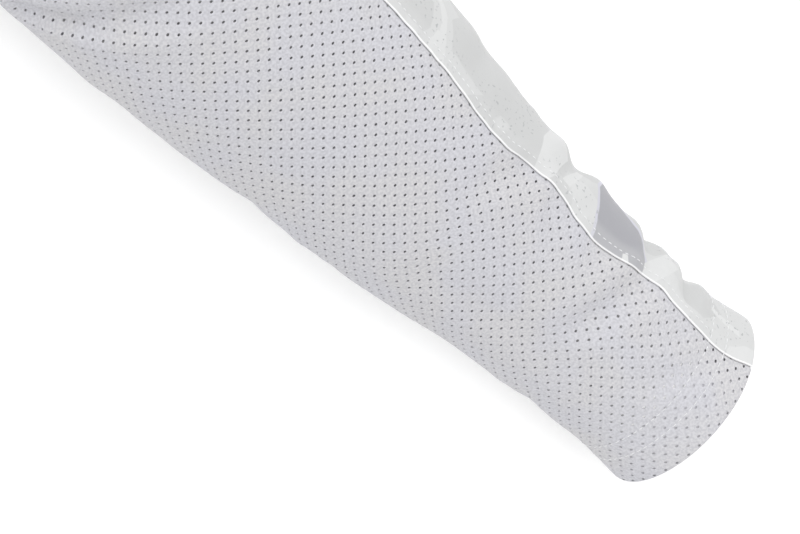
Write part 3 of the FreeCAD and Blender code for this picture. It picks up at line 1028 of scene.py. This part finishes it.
def seamLine(name, seam, inset, offset, inside):
    along = np.linspace(hems["depth"] + 1.5, sleeveLength - hems["depth"] - 1.5, 500)
    angle = besideSeam(seam, along, inset)
    lift = seamLift(inset)
    up = outward(foldedSkin, along, angle) * (-1 if inside else 1)
    return stitchRow(name, clothPoint(along, angle, offset + lift), up, False)


def seamOverlock(name, seam):
    along = np.linspace(hems["depth"] + 3, sleeveLength - hems["depth"] - 3, overlock["points"])
    beat = np.arange(overlock["points"]) * 2 * math.pi / overlock["steps"]
    reach = seams["allowance"]
    inset = reach - overlock["inset"] + overlock["swing"] * np.sin(beat)
    rise = overlock["rise"] * ease(reach - 0.2, reach + 0.2, inset)
    offset = -(meshUnder + sleeve["cloth"] + stitching["clear"]) + rise
    angle = besideSeam(seam, along, inset)
    along = along + overlock["lean"] * np.cos(beat)
    return loopRun(name, clothPoint(along, angle, offset + seamLift(inset)), False)


stitches = {}
for end, elbow in (("elbow", True), ("cuff", False)):
    for row, fromEdge in zip(("outer", "inner"), hems["rows"]):
        name = f"{end}Hem{row.title()}Stitches"
        stitches[f"{end}_hem_{row}_needle_thread"] = hemRow(name, fromEdge, elbow)
    stitches[f"{end}_hem_looper_thread"] = hemLooper(f"{end}HemLooper", elbow)
innerFace = -(meshUnder + sleeve["cloth"] + stitching["innerProud"])
for seam in ("top", "side"):
    node = f"{seam}_topstitch"
    near, far = stitching["seamInset"], stitching["topstitchInset"]
    stitches[f"{seam}_seam_needle_thread"] = seamLine(f"{seam}SeamStitches", seam, near, innerFace, True)
    stitches[f"{seam}_seam_looper_thread"] = seamOverlock(f"{seam}SeamOverlock", seam)
    stitches[f"{node}_needle_thread"] = seamLine(f"{seam}Topstitch", seam, far, seams["ridge"], False)
    stitches[f"{node}_bobbin_thread"] = seamLine(f"{seam}BobbinStitches", seam, far, innerFace, True)
print("stitches made:", sum(len(piece.data.polygons) for piece in stitches.values()), "faces")

# What each piece stands for, and the cut sizes of both sheets.
pieces = {"mesh_panel": (meshPanel, "mesh_knit"), "print_panel": (printPanel, "print_cloth"),
          "elbow_elastic": (elbowElastic, "elastic")}
pieces.update({node: (piece, "thread") for node, piece in stitches.items()})
for node, (piece, slot) in pieces.items():
    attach(piece, "root")
    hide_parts(node)
for piece, panel, area in ((meshPanel, "mesh", meshArea), (printPanel, "print", printArea)):
    widest = max(panelWidth(panel, along)[1] for along in range(0, round(sleeveLength), 10))

# Floor, light and camera.
studio = dict(floor=6, glow=0.16, world=0.88, sun=1.35, sunAngle=60, sunTurn=(-18, -22, 0), lens=140,
              back=(-19, 41.5), distance=1.063, aim=(0.0448, -0.0321, 0.03))


def makeFloor():
    finish, graph = startMaterial("paperFloor")
    place = graph.node("ShaderNodeTexCoord")["Object"]
    grain = noiseAt(graph, place, 3)
    colour = graph.mix(grain, (0.9, 0.9, 0.9), (0.92, 0.92, 0.92))
    endMaterial(graph, {"Base Color": colour, "Roughness": 0.9, "Emission Color": (1, 1, 1, 1),
                        "Emission Strength": studio["glow"]})
    half = studio["floor"] / 2 / mm
    corners = [(-half, -half, 0), (half, -half, 0), (half, half, 0), (-half, half, 0)]
    floor = addMesh("floor", corners, [(0, 1, 2, 3)], materials=[finish])


def makeLight():
    world = bpy.data.worlds.new("studio")
    bpy.context.scene.world = world
    world.use_nodes = True
    world.node_tree.nodes.clear()
    graph = Graph(world.node_tree)
    sky = graph.node("ShaderNodeBackground", {"Color": (1, 1, 1, 1), "Strength": studio["world"]})
    graph.node("ShaderNodeOutputWorld", {"Surface": sky["Background"]})
    sun = bpy.data.lights.new("softKey", "SUN")
    sun.energy = studio["sun"]
    sun.angle = math.radians(studio["sunAngle"])
    lamp = bpy.data.objects.new("softKey", sun)
    lamp.rotation_euler = [math.radians(each) for each in studio["sunTurn"]]
    bpy.context.scene.collection.objects.link(lamp)


def makeCamera():
    lean, roll = (math.radians(each) for each in studio["back"])
    back = Vector((math.sin(lean), 0, math.cos(lean)))
    level = Vector((math.cos(lean), 0, -math.sin(lean)))
    across = Vector((0, 1, 0))
    right = math.cos(roll) * level + math.sin(roll) * across
    up = back.cross(right)
    camera = bpy.data.objects.new("camera", bpy.data.cameras.new("camera"))
    camera.data.lens = studio["lens"]
    camera.data.clip_end = 20
    turn = Matrix((right, up, back)).transposed()
    place = Vector(studio["aim"]) + back * studio["distance"]
    camera.matrix_world = Matrix.Translation(place) @ turn.to_4x4()
    bpy.context.scene.collection.objects.link(camera)
    bpy.context.scene.camera = camera


makeFloor()
makeLight()
makeCamera()
bpy.context.scene.view_settings.view_transform = "Standard"
print("floor, light and camera made")
